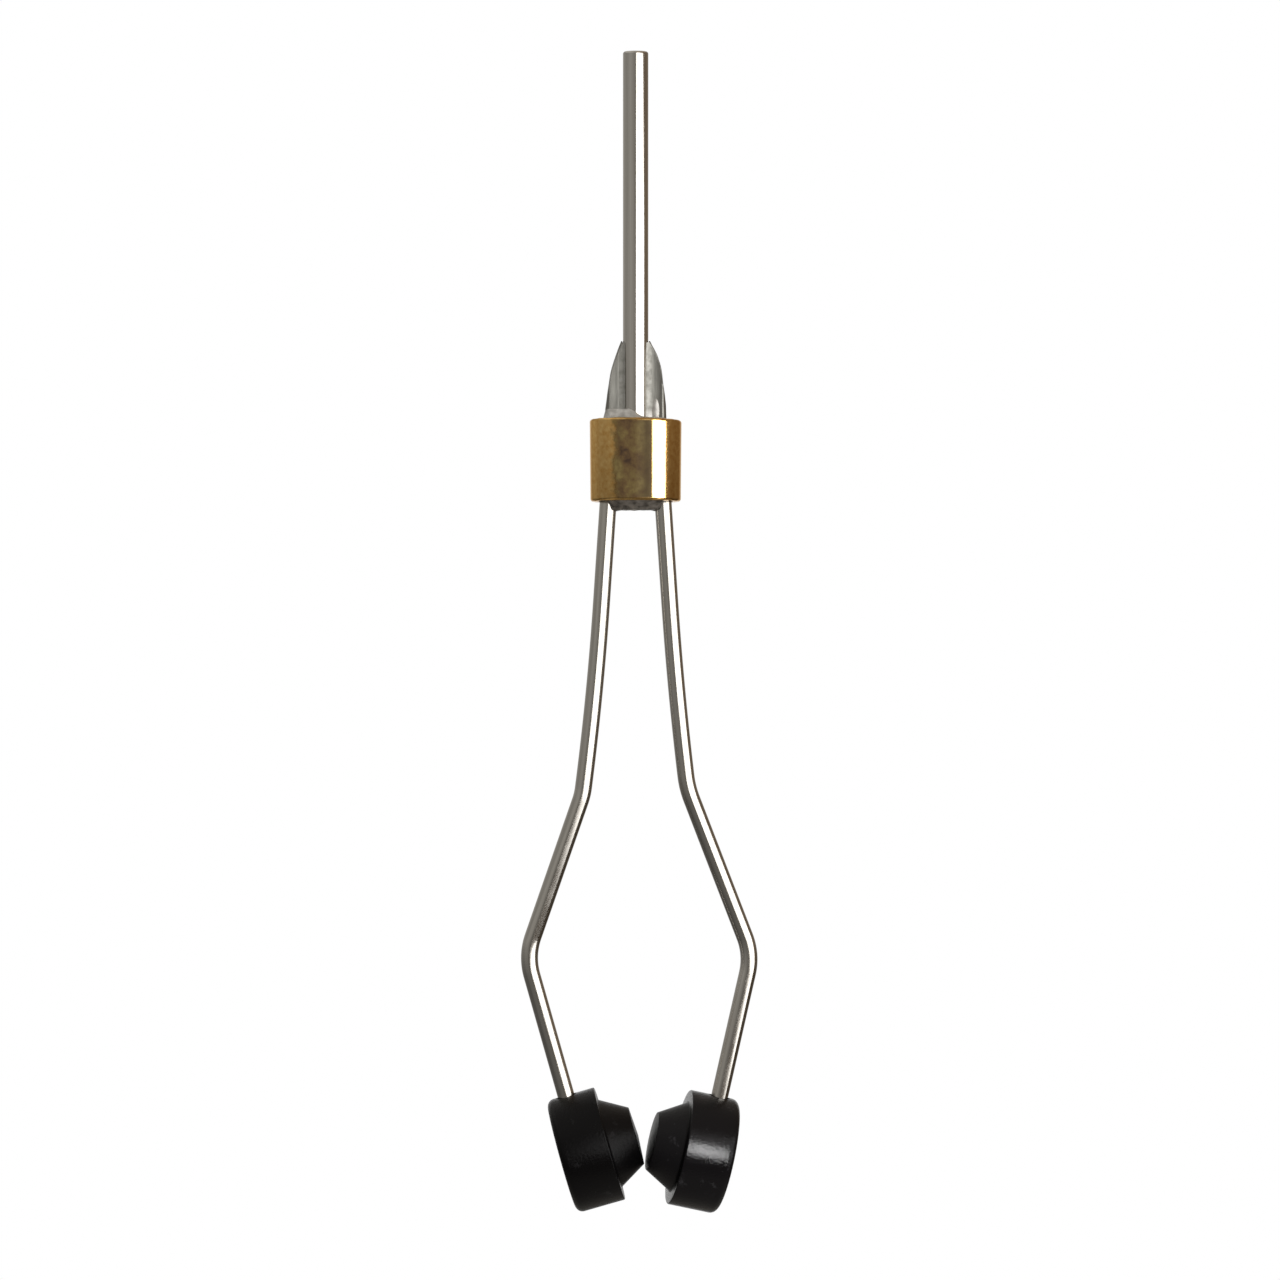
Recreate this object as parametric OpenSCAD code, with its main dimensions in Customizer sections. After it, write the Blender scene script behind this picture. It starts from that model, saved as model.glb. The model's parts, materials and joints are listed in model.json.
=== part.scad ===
// Bobbin holder for fly tying: a thread tube in a brass collar, with two sprung
// wire legs brazed beside it. Each leg ends in a plastic foot whose cone seats in
// one end of a thread spool. Sizes are in millimetres. The tube runs up along Z,
// the legs lie in the XZ plane, and the origin is the centre of the collar.

/* [Thread tube] */
// Outside diameter of the thread tube
tube_d = 2.38; // [1.8:0.02:3.2]
// Wall of the thread tube
tube_wall = 0.39; // [0.2:0.01:0.55]
// Length of tube above the collar
tube_above = 34.3; // [20:0.1:60]
// Length of tube below the collar
tube_below = 0.75; // [0.3:0.05:2]
// Rounding of the tube's outer end edges, which the thread runs over
tube_lip_r = 0.24; // [0.05:0.01:0.5]
// Rounding of the tube's inner end edges
bore_lip_r = 0.12; // [0.03:0.01:0.3]

/* [Collar] */
// Height of the collar
collar_h = 7.9; // [5:0.1:12]
// Wall of the collar
collar_wall = 0.75; // [0.4:0.05:1.5]
// Chamfer on the collar's outer edges
collar_chamfer = 0.2; // [0.05:0.05:0.35]

/* [Braze] */
// Braze between a wire and the tube
tube_joint = 0.05; // [0.02:0.01:0.2]
// Least braze between a wire and the collar
collar_joint = 0.18; // [0.05:0.01:0.6]
// Height of the braze that stands above the collar
braze_crown_h = 0.8; // [0.2:0.05:1.5]
// Width of the crown's top, measured out from the tube
braze_crown_w = 0.45; // [0.1:0.05:0.8]
// Width of the braze's flat underside, measured out from the tube
braze_sag_w = 0.7; // [0.2:0.05:1]

/* [Spring wire] */
// Diameter of the spring wire
wire_d = 1.6; // [1:0.05:2.2]
// Length of the ground wire tips above the collar
tip_l = 7.1; // [3:0.1:15]
// Thickness of wire left at the very end of a ground tip
tip_edge_t = 0.12; // [0.05:0.01:0.4]
// Height above the collar where the wires leave the tube
splay_start = 2; // [0.5:0.1:2.8]
// Angle that each wire turns outward there
splay_turn = 3.8; // [2:0.1:6]
// Bend radius of that turn
splay_r = 60; // [30:1:90]
// Depth below the collar of the point where the leg flexes
flex_drop = 9.2; // [6:0.1:14]

/* [Left leg] */
// Length of the slow outward bow
left_bow_l = 17.6; // [10:0.1:24]
// Turn of the bow
left_bow_turn = 3.5; // [1:0.1:6]
// Turn of the shoulder
left_shoulder_turn = 11.9; // [8:0.1:18]
// Bend radius of the shoulder
left_shoulder_r = 6.4; // [3:0.1:12]
// Straight length from the shoulder to the elbow
left_flare_l = 13.4; // [9:0.1:18]
// Bend radius of the elbow
left_elbow_r = 6; // [3:0.1:9]
// Straight length from the elbow to the foot's rim
left_arm_l = 11.7; // [8:0.1:18]
// Turn of the foot about its wire, positive when the nose comes to the front
left_foot_turn = -1; // [-10:0.5:10]

/* [Right leg] */
// Length of the slow outward bow
right_bow_l = 16.5; // [10:0.1:24]
// Turn of the bow
right_bow_turn = 3; // [1:0.1:6]
// Turn of the shoulder
right_shoulder_turn = 14.3; // [8:0.1:18]
// Bend radius of the shoulder
right_shoulder_r = 8.9; // [3:0.1:12]
// Straight length from the shoulder to the elbow
right_flare_l = 13.8; // [9:0.1:18]
// Bend radius of the elbow
right_elbow_r = 5.9; // [3:0.1:9]
// Straight length from the elbow to the foot's rim
right_arm_l = 11.8; // [8:0.1:18]
// Turn of the foot about its wire, positive when the nose comes to the front
right_foot_turn = 5.5; // [-10:0.5:10]

/* [Spool feet] */
// Diameter of a foot's disc
foot_d = 10.8; // [8:0.1:14]
// Thickness of the disc
foot_t = 4.65; // [3.6:0.05:7]
// Rounding of the disc's outer edge
foot_edge_r = 0.7; // [0.2:0.05:1]
// Width of the ledge between the disc's rim and the cone
ledge_w = 1.18; // [0.5:0.02:1.6]
// Height of the cone that seats in the spool
cone_l = 2.6; // [1.5:0.1:3.5]
// Slope of the cone's side from its axis
cone_slope = 30; // [10:1:32]
// Height of the blunt point on the nose
nose_rise = 0.18; // [0.05:0.01:0.5]
// Chamfer on the nose and on the disc's inner edge
foot_chamfer = 0.1; // [0.05:0.01:0.2]
// Distance of the wire's axis from the disc's outer face
wire_setback = 1.95; // [1.4:0.05:2.3]
// Depth of the wire hole from the rim
hole_depth = 7; // [4:0.1:7.5]
// Chamfer at the mouth of the wire hole
mouth_chamfer = 0.2; // [0.05:0.05:0.3]
// Gap between the two noses when the legs are at rest
nose_gap = 0.08; // [0.05:0.01:1]
// Distance from the tube's axis to where the noses meet
meet_x = 0.85; // [-2:0.05:2]

/* [Running clearances] */
// Clearance around the ball on which a leg flexes
flex_clear = 0.03; // [0.02:0.01:0.08]
// Clearance of a wire in its foot
foot_clear = 0.03; // [0.01:0.01:0.08]
// Space between a wire's end and the bottom of its hole
hole_end_gap = 0.1; // [0.05:0.05:0.5]

/* [Hidden] */

// Facets of round sections, of long slow bends and of small rounded edges
round_fn = 64;
bend_fn = 1440;
edge_steps = 6;
ogive_steps = 12;
// How far a cutting shape runs past what it cuts
cut_past = 1;
// A bend swells by this much over the straight wire, and the ball by more, so that
// the straight wire can run a little way into each of them
bend_swell = 0.005;
ball_swell = 0.01;
run_into = 0.05;

tube_r = tube_d / 2;
bore_r = tube_r - tube_wall;
wire_r = wire_d / 2;
bend_wire_r = wire_r + bend_swell;
ball_r = wire_r + ball_swell;
foot_r = foot_d / 2;
hole_r = wire_r + foot_clear;
collar_top = collar_h / 2;
collar_bottom = -collar_top;
tube_top = collar_top + tube_above;
tube_bottom = collar_bottom - tube_below;
// A lip's rounding takes at most this share of the tube's wall
lip_share = 0.62;
bore_lip_share = 0.35;
lip_r = min(tube_lip_r, tube_wall * lip_share);
inner_lip_r = min(bore_lip_r, tube_wall * bore_lip_share);

// A station of a wire is its place across, its height, and its heading outward
// from straight down. A straight run and a bend each give the next station.
function run_to(s, l) = [s[0] + l * sin(s[2]), s[1] - l * cos(s[2]), s[2]];
function bend_to(s, turn, r) = [
    s[0] + sign(turn) * r * (cos(s[2]) - cos(s[2] + turn)),
    s[1] - sign(turn) * r * (sin(s[2] + turn) - sin(s[2])),
    s[2] + turn
];
function bow_r(l, turn) = l / (turn * PI / 180);

// The wire's stations from its ground tip to the point where the leg flexes
wire_x = tube_r + tube_joint + wire_r;
tip_top = collar_top + tip_l;
splay_from = [wire_x, collar_top + splay_start, 0];
splay_to = bend_to(splay_from, splay_turn, splay_r);
flex_z = collar_bottom - flex_drop;
neck_l = (splay_to[1] - flex_z) / cos(splay_turn);
flex_at = run_to(splay_to, neck_l);

// The collar's bore clears the wires where they stand widest in it
wire_x_below = splay_to[0] + (splay_to[1] - collar_bottom) * tan(splay_turn);
collar_bore_r = wire_x_below + wire_r / cos(splay_turn) + collar_joint;
collar_r = collar_bore_r + collar_wall;

// The ground tips share one bullet shape, which clears the wires at the collar and
// closes on the tube at the tips
grind_clear = 0.03;
splay_out = splay_r - sqrt(pow(splay_r, 2) - pow(splay_start, 2));
ogive_base_r = wire_x + wire_r + splay_out + grind_clear;
ogive_tip_r = tube_r + tube_joint + tip_edge_t;
ogive_in = ogive_base_r - ogive_tip_r;
ogive_arc_r = (pow(tip_l, 2) + pow(ogive_in, 2)) / (2 * ogive_in);

// The foot's outline, measured along its axis from the wire's axis
cone_base_r = foot_r - ledge_w;
nose_r = cone_base_r - cone_l * tan(cone_slope);
ledge_at = foot_t - wire_setback;
nose_at = ledge_at + cone_l;

// The arm's heading brings the lowest point of the nose to the meeting line: with
// the elbow's and the foot's sizes, its place across is p cos(h) + q sin(h) + c
function arm_heading(s, elbow_r, arm_l, target) =
    let (p = elbow_r - nose_at)
    let (q = arm_l + foot_r + nose_r)
    let (c = s[0] - elbow_r * cos(s[2]))
    asin((target - c) / norm([p, q])) - atan2(p, q);

// Stations of one leg: the flexing point, the ends of the bow, the shoulder, the
// flare and the elbow, the foot's rim, and the foot's own centre
function leg_stations(bow_l, bow_turn, shoulder_turn, shoulder_r, flare_l,
                      elbow_r, arm_l, target) =
    let (bow = bend_to(flex_at, bow_turn, bow_r(bow_l, bow_turn)))
    let (shoulder = bend_to(bow, shoulder_turn, shoulder_r))
    let (flare = run_to(shoulder, flare_l))
    let (heading = arm_heading(flare, elbow_r, arm_l, target))
    let (elbow = bend_to(flare, heading - flare[2], elbow_r))
    let (rim = run_to(elbow, arm_l))
    [flex_at, bow, shoulder, flare, elbow, rim, run_to(rim, foot_r)];

left_stations = leg_stations(left_bow_l, left_bow_turn, left_shoulder_turn,
    left_shoulder_r, left_flare_l, left_elbow_r, left_arm_l, nose_gap / 2 - meet_x);
right_stations = leg_stations(right_bow_l, right_bow_turn, right_shoulder_turn,
    right_shoulder_r, right_flare_l, right_elbow_r, right_arm_l, nose_gap / 2 + meet_x);

echo(flex_at = flex_at, left_foot_at = left_stations[6], right_foot_at = right_stations[6]);

// Points of a quarter circle about a centre, from one angle to another
function arc_points(centre, r, from, to) = [
    for (k = [0:edge_steps])
        let (a = from + (to - from) * k / edge_steps)
        centre + r * [cos(a), sin(a)]
];

// Children are placed at a station, with -Z along the wire and +X outward
module at_station(s) {
    translate([s[0], 0, s[1]]) rotate([0, -s[2], 0]) children();
}

// A straight length of wire from a station, which also runs into the bend before it
module wire_run(s, l) {
    at_station(s) translate([0, 0, -l]) cylinder(h = l + run_into, r = wire_r, $fn = round_fn);
}

// A bend of the wire from a station, outward when the turn is positive
module wire_bend(s, turn, r, section_r = bend_wire_r) {
    start = turn > 0 ? 180 : turn;
    at_station(s)
        translate([sign(turn) * r, 0, 0])
            rotate([90, 0, 0])
                rotate([0, 0, start])
                    rotate_extrude(angle = abs(turn), $fn = bend_fn)
                        translate([r, 0]) circle(r = section_r, $fn = round_fn);
}

// What is ground off the wire tips: all that stands outside their bullet shape
module grind_waste() {
    arc_x = ogive_base_r - ogive_arc_r;
    side = [
        for (k = [0:ogive_steps])
            let (h = tip_l * k / ogive_steps)
            [arc_x + sqrt(pow(ogive_arc_r, 2) - pow(h, 2)), collar_top + h]
    ];
    rotate_extrude($fn = round_fn)
        polygon(concat(side, [
            [ogive_tip_r, tip_top + cut_past],
            [ogive_base_r + cut_past, tip_top + cut_past],
            [ogive_base_r + cut_past, collar_top]
        ]));
}

// The upper wire before it is ground: straight beside the tube, then splayed
module wire_stock() {
    translate([wire_x, 0, splay_from[1] - run_into])
        cylinder(h = tip_top - splay_from[1] + run_into, r = wire_r, $fn = round_fn);
    wire_bend(splay_from, splay_turn, splay_r);
    wire_run(splay_to, neck_l);
}

// The wire from its ground tip to the flexing point, where it cups the leg's ball
module wire_root() {
    difference() {
        wire_stock();
        grind_waste();
        at_station(flex_at) sphere(r = ball_r + flex_clear, $fn = round_fn);
    }
}

// The leg's wire below the flexing point, which has a ball at its top
module leg_wire(st, bow_l, bow_turn, shoulder_r, flare_l, elbow_r, arm_l) {
    bow_past = bow_turn * (1 + run_into / bow_l);
    at_station(st[0]) sphere(r = ball_r, $fn = round_fn);
    wire_bend(st[0], bow_past, bow_r(bow_l, bow_turn), wire_r);
    wire_bend(st[1], st[2][2] - st[1][2], shoulder_r);
    wire_run(st[2], flare_l + run_into);
    wire_bend(st[3], st[4][2] - st[3][2], elbow_r);
    wire_run(st[4], arm_l + hole_depth - hole_end_gap);
}

// A foot: a disc with a blunt cone that faces inward, and the hole for the wire
module foot(st, turn) {
    edge = arc_points([foot_r - foot_edge_r, foot_edge_r - wire_setback], foot_edge_r, -90, 0);
    outline = concat(
        [[0, -wire_setback]],
        edge,
        [
            [foot_r, ledge_at - foot_chamfer],
            [foot_r - foot_chamfer, ledge_at],
            [cone_base_r, ledge_at],
            [nose_r + foot_chamfer * tan(cone_slope), nose_at - foot_chamfer],
            [nose_r - foot_chamfer, nose_at],
            [0, nose_at + nose_rise]
        ]
    );
    at_station(st[6])
        rotate([0, 0, turn])
            difference() {
                rotate([0, -90, 0]) rotate_extrude($fn = round_fn) polygon(outline);
                translate([0, 0, foot_r - hole_depth])
                    cylinder(h = hole_depth + cut_past, r = hole_r, $fn = round_fn);
                translate([0, 0, foot_r - mouth_chamfer])
                    cylinder(h = mouth_chamfer + cut_past, r1 = hole_r,
                             r2 = hole_r + mouth_chamfer + cut_past, $fn = round_fn);
            }
}

module thread_tube() {
    top_lip = arc_points([tube_r - lip_r, tube_top - lip_r], lip_r, 0, 90);
    top_bore = arc_points([bore_r + inner_lip_r, tube_top - inner_lip_r], inner_lip_r, 90, 180);
    low_bore = arc_points([bore_r + inner_lip_r, tube_bottom + inner_lip_r], inner_lip_r, 180, 270);
    color("silver")
        rotate_extrude($fn = round_fn)
            polygon(concat([[tube_r, tube_bottom]], top_lip, top_bore, low_bore));
}

module brass_collar() {
    color("goldenrod")
        rotate_extrude($fn = round_fn)
            polygon([
                [collar_bore_r, collar_bottom],
                [collar_r - collar_chamfer, collar_bottom],
                [collar_r, collar_bottom + collar_chamfer],
                [collar_r, collar_top - collar_chamfer],
                [collar_r - collar_chamfer, collar_top],
                [collar_bore_r, collar_top]
            ]);
}

// The braze fills the collar around the tube and wires, stands in a low crown
// above it and sags a little below it
module silver_braze() {
    crown_r = tube_r + braze_crown_w;
    sag_r = tube_r + braze_sag_w;
    color("darkgray")
        difference() {
            rotate_extrude($fn = round_fn)
                polygon([
                    [tube_r, tube_bottom],
                    [sag_r, tube_bottom],
                    [collar_bore_r - collar_joint, collar_bottom],
                    [collar_bore_r, collar_bottom],
                    [collar_bore_r, collar_top],
                    [collar_bore_r - collar_joint, collar_top],
                    [crown_r, collar_top + braze_crown_h],
                    [tube_r, collar_top + braze_crown_h]
                ]);
            wire_stock();
            mirror([1, 0, 0]) wire_stock();
        }
}

module left_wire_root() {
    color("gainsboro") mirror([1, 0, 0]) wire_root();
}

module right_wire_root() {
    color("gainsboro") wire_root();
}

module left_leg() {
    color("lightgray")
        mirror([1, 0, 0])
            leg_wire(left_stations, left_bow_l, left_bow_turn, left_shoulder_r,
                     left_flare_l, left_elbow_r, left_arm_l);
}

module right_leg() {
    color("lightgray")
        leg_wire(right_stations, right_bow_l, right_bow_turn, right_shoulder_r,
                 right_flare_l, right_elbow_r, right_arm_l);
}

module left_foot() {
    color("dimgray") mirror([1, 0, 0]) foot(left_stations, left_foot_turn);
}

module right_foot() {
    color("dimgray") foot(right_stations, right_foot_turn);
}

thread_tube();
brass_collar();
silver_braze();
left_wire_root();
right_wire_root();
left_leg();
right_leg();
left_foot();
right_foot();
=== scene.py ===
import json
import math

import bmesh
import bpy
from mathutils import Matrix, Vector, noise
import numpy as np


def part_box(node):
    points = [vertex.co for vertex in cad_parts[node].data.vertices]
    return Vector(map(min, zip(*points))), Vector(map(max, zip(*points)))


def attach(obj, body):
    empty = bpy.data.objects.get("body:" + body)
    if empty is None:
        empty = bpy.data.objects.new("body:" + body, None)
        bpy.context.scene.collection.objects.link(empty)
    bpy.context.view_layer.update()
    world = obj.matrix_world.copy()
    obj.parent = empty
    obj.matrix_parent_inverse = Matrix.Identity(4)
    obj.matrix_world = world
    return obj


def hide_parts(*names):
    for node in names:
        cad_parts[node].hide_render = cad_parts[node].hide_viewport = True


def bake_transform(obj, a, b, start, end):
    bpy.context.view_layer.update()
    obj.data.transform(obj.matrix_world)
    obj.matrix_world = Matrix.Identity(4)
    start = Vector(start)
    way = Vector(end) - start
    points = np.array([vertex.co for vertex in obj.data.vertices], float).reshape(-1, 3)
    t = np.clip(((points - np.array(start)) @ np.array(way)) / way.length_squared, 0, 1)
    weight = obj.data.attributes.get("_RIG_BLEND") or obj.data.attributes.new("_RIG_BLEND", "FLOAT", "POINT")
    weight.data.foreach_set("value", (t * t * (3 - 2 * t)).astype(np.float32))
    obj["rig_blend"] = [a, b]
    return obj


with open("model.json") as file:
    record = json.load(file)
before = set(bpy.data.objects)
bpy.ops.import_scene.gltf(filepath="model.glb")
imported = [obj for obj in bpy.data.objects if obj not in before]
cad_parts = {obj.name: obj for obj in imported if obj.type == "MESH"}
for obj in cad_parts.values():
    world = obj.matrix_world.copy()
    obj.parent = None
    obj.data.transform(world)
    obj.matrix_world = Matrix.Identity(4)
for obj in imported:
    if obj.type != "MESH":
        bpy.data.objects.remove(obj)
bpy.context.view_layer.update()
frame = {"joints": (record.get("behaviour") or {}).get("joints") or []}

# A bobbin holder for fly tying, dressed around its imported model. Lengths below are in
# millimetres in the model's frame: Z runs up the thread tube from the collar's centre,
# X across the two legs and -Y towards the viewer. A piece is made in millimetres and
# scaled to metres once, when it is finished.
MM = 0.001
JOINTS = {joint["name"]: joint for joint in frame["joints"]}


def span(node):
    """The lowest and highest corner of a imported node, in millimetres."""
    low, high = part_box(node)
    return low / MM, high / MM


# ------------------------------------------------------------------ driving sizes

TUBE_LOW, TUBE_HIGH = span("thread_tube")
COLLAR_LOW, COLLAR_HIGH = span("brass_collar")
WIRE_TIP = span("right_wire_root")[1].z
SIDE = {"left": -1, "right": 1}

tube_r = TUBE_HIGH.x
bore_r = 0.8
tube_lip_r = 0.24
bore_lip_r = 0.12
# Its upper end was ground by hand, and is this much lower at the front
tip_fall = 0.2

collar_r = COLLAR_HIGH.x
collar_top = COLLAR_HIGH.z
collar_bottom = COLLAR_LOW.z
collar_wall = 0.75
collar_edge_r = 0.26
collar_bore_r = collar_r - collar_wall
collar_bore_chamfer = 0.08
# Its upper rim was filed down, and a little lower on its right side
rim_filed = 0.25
rim_fall = 0.05
rim_z = collar_top - rim_filed
# How far both rims waver, each time with how many wavers there are to a millimetre
rim_wavers = [(0.05, 0.8), (0.02, 3.1)]
# It narrows by this much towards its lower rim
collar_taper = 0.07

wire_r = 0.8
wire_sides = 64
wire_step = 0.25
joint_gap = 0.05
wire_x = tube_r + joint_gap + wire_r
splay_start = 2.0
splay_turn = 3.8
splay_r = 60.0

# The tips were ground by hand to a bullet shape. Low down and near the top, each stands
# in or out of the true shape by this much; such a swelling rises between the first two
# shares of the tip's length, and falls between the other two.
ground_l = WIRE_TIP - collar_top
ground_edge_t = 0.12
ground_clear = 0.03
GROUND_BY_HAND = {"left": (-0.1, -0.03), "right": (-0.04, 0.14)}
ground_low = (0.0, 0.25, 0.4, 0.65)
ground_high = (0.4, 0.72, 0.8, 1.0)
# Their fronts and backs were filed nearly flat this far from the middle plane, from a
# little below the collar's rim. Each flat is hollow by so much around a line so far out,
# and its edge is crisper with a higher wing_crisp.
wing_flat = 0.63
wing_crisp = 40
wing_below_rim = 0.3
WING_HOLLOW = {"left": (0.014, 1.85), "right": (0.08, 1.75)}
hollow_reach = 0.75

# The bow's length and turn, the shoulder's turn and radius, the flare's length and the
# elbow's radius of each leg, bent by hand and so not quite alike
LEG_BENDS = {
    "left": {"bow": (17.6, 3.5), "shoulder": (11.9, 6.4), "flare": 13.4, "elbow_r": 6.0},
    "right": {"bow": (16.5, 3.0), "shoulder": (14.3, 8.9), "flare": 13.8, "elbow_r": 5.9},
}
FOOT_TURN = {"left": -1.0, "right": 5.5}
# How matt handling has made each foot's rim, where the cones are at 1
RIM_MATT = {"left": 0.7, "right": 0.0}

# How far the braze lies below the rims, and climbs above that at the right and left. The
# higher climb starts right of the middle, and is full left of it.
pool_recess = 0.12
pool_climb = 0.35
pool_climb_left = 1.1
climb_start = 0.9
climb_full = 0.5
# How far out from the tube and the wires it climbs, and how little on their outer sides
pool_reach = 0.45
pool_reach_outside = 0.1
# How uneven it is, the wavers to a millimetre above and below, and where they are read
pool_waver = 0.06
wavers_above = 1.3
wavers_below = 1.5
waver_level = 4.0
# How finely its surface is drawn, and how far it reaches into the collar's wall
pool_step = 0.12
pool_in_wall = 0.1
# Between these heights above the rim it turns from as it set to filed with the wires
pool_filed = (0.3, 1.2)

# Below it sags by this much, softly where it ends towards the front and back and beside
# the legs, which stand this much further out there. A film clings to each leg.
sag = 0.9
sag_edge = (-0.1, 1.3)
sag_end = (-0.7, 0.3)
leg_out = 0.52
film = 0.1
film_reach = 0.2
film_end = 0.6

# The braze in the grooves beside the tube runs from inside the tube's wall to inside the
# wire, and stays a little inside the ground shape and below the wire's tip. It leaves the
# tube's skin at groove_inner, and is level with the wire's flat past the fillet. It
# closes on both sides, more steeply with a higher groove_close.
groove_start = 0.9
groove_inner = 1.0
groove_in_wire = 0.15
groove_in_ground = 0.005
groove_below_tip = 0.15
groove_dip = 0.001
groove_fillet = 0.3
groove_close = 4
groove_sides = 48
groove_levels = 120

# One drop ran a little way up the right wire and set there
drop_place = (1.9, -0.5, rim_z + 0.8)
drop_size = (0.7, 0.36, 2.4)

foot_r = 5.396
foot_t = 4.65
foot_edge_r = 0.7
ledge_w = 1.18
ledge_edge_r = 0.12
cone_l = 2.6
cone_slope = math.radians(30)
cone_root_r = 0.3
# The nose's edge turns from the cone's slope to nearly flat, and is set in by a share of
# its radius. From there the nose rises to its point.
nose_edge_r = 0.07
nose_edge_in = 0.6
nose_edge_turn = 84
nose_rise = 0.18
wire_setback = 1.95
ledge_at = foot_t - wire_setback
# The cone's matt finish starts this far above the ledge
matt_above = 0.01
# The wire's hole, and how far the cutter for it stands out of its mouth
hole_clear = 0.03
hole_r = wire_r + hole_clear
hole_depth = 7.0
hole_end_gap = 0.1
mouth_chamfer = 0.2
mouth_over = 1

# The collar's painted shade is a dark reflection painted into the brass's colour as a stain.
# Where it ends at the left and right and where it is full, how ragged and soft its left end
# is and how soft its right one, and how far in from each rim it starts to fade and fades most
painted_shade_left = -0.95
painted_shade_right = 1.55
painted_shade_full = 1.0
painted_shade_ragged = 2.0
painted_shade_soft = 0.35
painted_shade_crisp = 0.1
shade_fade_from = 0.3
shade_fade_most = 0.1

# Corners closer than this are one, and edges that turn by more than this stay sharp
weld = 1e-4
sharp_over = math.radians(40)


# ------------------------------------------------------------------ shape helpers


def smooth(value, start, end):
    """Rises softly from 0 at start to 1 at end."""
    t = max(0.0, min(1.0, (value - start) / (end - start)))
    return t * t * (3 - 2 * t)


def swelling(value, start, full, fall, end):
    """Rises softly from 0 at start to 1 at full, and from fall on sinks to 0 at end."""
    return smooth(value, start, full) * (1 - smooth(value, fall, end))


def arc(centre, radius, start, end, steps):
    """Points (radius from the axis, height) along an arc, angles in degrees."""
    points = []
    for step in range(steps + 1):
        angle = math.radians(start + (end - start) * step / steps)
        points.append((centre[0] + radius * math.cos(angle),
                       centre[1] + radius * math.sin(angle)))
    return points


def spun(outline, sides, closed):
    """A body of revolution about Z from an outline of (radius, height) points."""
    bm = bmesh.new()
    verts = [bm.verts.new((radius, 0, height)) for radius, height in outline]
    edges = [bm.edges.new(pair) for pair in zip(verts, verts[1:])]
    if closed:
        edges.append(bm.edges.new((verts[-1], verts[0])))
    bmesh.ops.spin(bm, geom=verts + edges, cent=(0, 0, 0), axis=(0, 0, 1), dvec=(0, 0, 0),
                   angle=math.tau, steps=sides, use_merge=True, use_duplicate=False)
    bmesh.ops.remove_doubles(bm, verts=bm.verts, dist=weld)
    bmesh.ops.recalc_face_normals(bm, faces=bm.faces)
    return bm


def pulled(bm, face):
    """Pulls a new layer out of the mesh's end face: the new end face and its corners."""
    geom = bmesh.ops.extrude_face_region(bm, geom=face)["geom"]
    return ([part for part in geom if isinstance(part, bmesh.types.BMFace)],
            [part for part in geom if isinstance(part, bmesh.types.BMVert)])


def finished(bm, name, body, slot, material, *nodes):
    """Turns a mesh in millimetres into a finished piece of the object, in metres. It
    rides on the body, if one is named, and replaces the nodes."""
    bmesh.ops.scale(bm, vec=(MM, MM, MM), verts=bm.verts)
    for face in bm.faces:
        face.smooth = True
    for edge in bm.edges:
        edge.smooth = len(edge.link_faces) == 2 and edge.calc_face_angle() < sharp_over
    mesh = bpy.data.meshes.new(name)
    bm.to_mesh(mesh)
    bm.free()
    mesh.materials.append(material)
    piece = bpy.data.objects.new(name, mesh)
    bpy.context.scene.collection.objects.link(piece)
    if body:
        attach(piece, body)
    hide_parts(*nodes)
    return piece


def cut(bm, cutter):
    """The mesh with the cutter's shape taken out of it. Both are used up."""
    bodies = []
    for source in (bm, cutter):
        mesh = bpy.data.meshes.new("cutting")
        source.to_mesh(mesh)
        source.free()
        body = bpy.data.objects.new("cutting", mesh)
        bpy.context.scene.collection.objects.link(body)
        bodies.append(body)
    boolean = bodies[0].modifiers.new("cut", "BOOLEAN")
    boolean.operation = "DIFFERENCE"
    boolean.solver = "EXACT"
    boolean.object = bodies[1]
    depsgraph = bpy.context.evaluated_depsgraph_get()
    result = bmesh.new()
    result.from_object(bodies[0], depsgraph)
    for body in bodies:
        mesh = body.data
        bpy.data.objects.remove(body)
        bpy.data.meshes.remove(mesh)
    return result


# ------------------------------------------------------------------ material helpers

# A Mix node's two colours and their mix, and its two plain values, by their place
COLOUR_A, COLOUR_B, COLOUR_MIX = 6, 7, 2
VALUE_A, VALUE_B = 2, 3


def srgb(code):
    """A #RRGGBB colour as linear red, green, blue and alpha."""
    channels = [int(code[i:i + 2], 16) / 255 for i in (1, 3, 5)]
    linear = [c / 12.92 if c <= 0.04045 else ((c + 0.055) / 1.055) ** 2.4 for c in channels]
    return (*linear, 1.0)


def add(tree, kind, inputs=(), stops=(), **settings):
    """Adds a node with its settings, and a colour ramp's stops. Its inputs go by name or,
    in a list, by order, and each is a value or another node's output."""
    made = tree.nodes.new(kind)
    for name, value in settings.items():
        setattr(made, name, value)
    for index, (stop, colour) in enumerate(stops):
        # A new ramp has its first stops already
        elements = made.color_ramp.elements
        element = elements[index] if index < len(elements) else elements.new(stop)
        element.position = stop
        element.color = colour
    for socket, value in inputs.items() if isinstance(inputs, dict) else enumerate(inputs):
        if isinstance(value, bpy.types.NodeSocket):
            tree.links.new(value, made.inputs[socket])
        else:
            made.inputs[socket].default_value = value
    return made


def new_material(name):
    """An empty node material with its output node."""
    material = bpy.data.materials.new(name)
    material.use_nodes = True
    tree = material.node_tree
    tree.nodes.clear()
    return material, tree, tree.nodes.new("ShaderNodeOutputMaterial")


# ------------------------------------------------------------------ materials

# A pattern's width on the real surface is given first in each material. Where its lines
# are stretched, slender is their width as a share of their length.


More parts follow.
